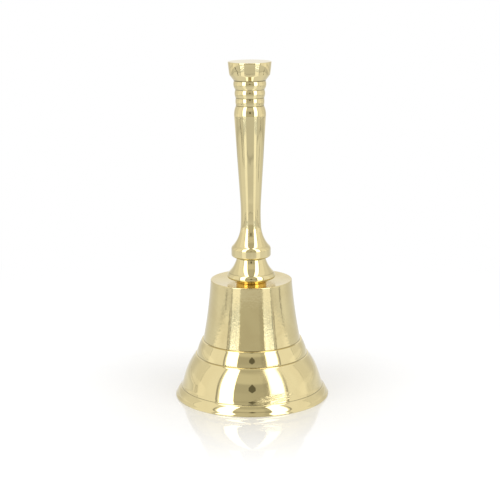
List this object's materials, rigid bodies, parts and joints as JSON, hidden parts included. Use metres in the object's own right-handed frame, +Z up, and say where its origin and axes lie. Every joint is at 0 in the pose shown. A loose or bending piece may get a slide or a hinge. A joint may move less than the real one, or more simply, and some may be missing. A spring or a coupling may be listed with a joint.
{
  "type": "sanctus bell",
  "caption": "Small polished brass hand bell with a stepped, flared cup, an upright turned handle and a free-swinging clapper hung from an eye bolt through the crown.",
  "frame": {"origin": "centre of the bell's mouth, on the plane that the lip stands on", "axes": "+Z up the bell's axis to the cap of the handle; the clapper swings freely in the XZ plane about the link, and the link sways in the YZ plane"},
  "size_m": [0.0798, 0.0798, 0.1728],
  "materials": {
    "bell_brass": "turned and mirror polished outside, satin as-cast and turned inside",
    "handle_brass": "turned and mirror polished",
    "collar_brass": "turned, slightly tarnished",
    "ball_brass": "turned, worn where it strikes",
    "bolt_steel": "bright zinc-plated thread and eye",
    "nut_steel": "zinc plated",
    "washer_steel": "zinc plated",
    "link_steel": "drawn wire",
    "rod_steel": "drawn rod with a rolled thread",
    "leather": "vegetable-tanned, cut edge"
  },
  "bodies": {
    "bell": {"bell_body": "bell_brass", "crown_collar": "collar_brass", "handle": "handle_brass", "leather_washer": "leather", "crown_washer": "washer_steel", "lock_washer": "washer_steel", "clamp_nut": "nut_steel", "eye_bolt": "bolt_steel"},
    "link": {"link_ring": "link_steel"},
    "clapper": {"clapper_rod": "rod_steel", "upper_ball_nut": "nut_steel", "clapper_ball": "ball_brass", "lower_ball_nut": "nut_steel"}
  },
  "joints": [
    {"name": "link_sway", "type": "hinge", "parent": "bell", "child": "link", "pos_m": [0, 0, 0.04355], "axis": [1, 0, 0], "range_deg": [-8, 8]},
    {"name": "clapper_swing", "type": "hinge", "parent": "link", "child": "clapper", "pos_m": [0, 0, 0.03895], "axis": [0, 1, 0], "range_deg": [-46, 46]}
  ]
}
